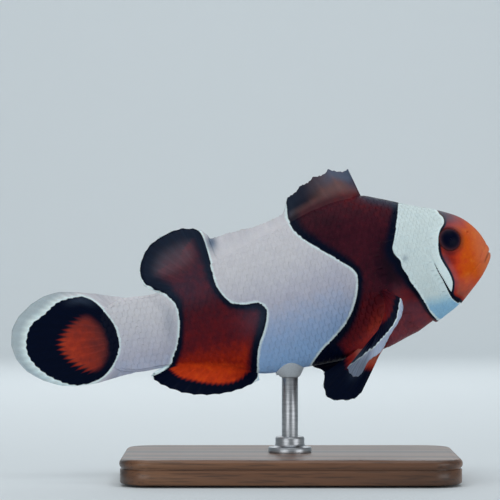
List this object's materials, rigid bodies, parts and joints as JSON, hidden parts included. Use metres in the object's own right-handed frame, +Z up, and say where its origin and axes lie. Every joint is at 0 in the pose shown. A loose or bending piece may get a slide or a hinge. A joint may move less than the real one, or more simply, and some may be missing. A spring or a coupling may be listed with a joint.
{
  "type": "clownfish model",
  "caption": "Still, life-size model of a boldly banded clownfish, swimming nose up, held over a flat base by a short rod.",
  "frame": {"origin": "centre of the stand's flat underside", "axes": "+Z up, +X towards the fish's head, +Y to the fish's left"},
  "size_m": [0.0885, 0.0415, 0.0576],
  "materials": {
    "scaled_skin": "scaled skin, white with maroon and orange patches edged in black",
    "fin_skin": "thin ribbed fin membrane, orange and maroon edged in black",
    "eye": "clear, wet dome over a rust-brown iris and a black pupil",
    "base_wood": "dark walnut, sanded and satin oiled",
    "rod_steel": "turned and brushed",
    "pad_rubber": "pale grey silicone rubber, matt moulded"
  },
  "bodies": {
    "root": {"head": "scaled_skin", "lower_jaw": "scaled_skin", "gill_cover_left": "scaled_skin", "gill_cover_right": "scaled_skin", "trunk_front": "scaled_skin", "trunk_rear": "scaled_skin", "tail_stalk": "scaled_skin", "dorsal_fin_spiny": "fin_skin", "dorsal_fin_soft": "fin_skin", "anal_fin": "fin_skin", "tail_fin": "fin_skin", "pectoral_fin_left": "fin_skin", "pectoral_fin_right": "fin_skin", "pelvic_fin_left": "fin_skin", "pelvic_fin_right": "fin_skin", "eye_left": "eye", "eye_right": "eye", "stand_base": "base_wood", "stand_rod": "rod_steel", "stand_collar": "rod_steel", "stand_pad": "pad_rubber"}
  },
  "joints": []
}
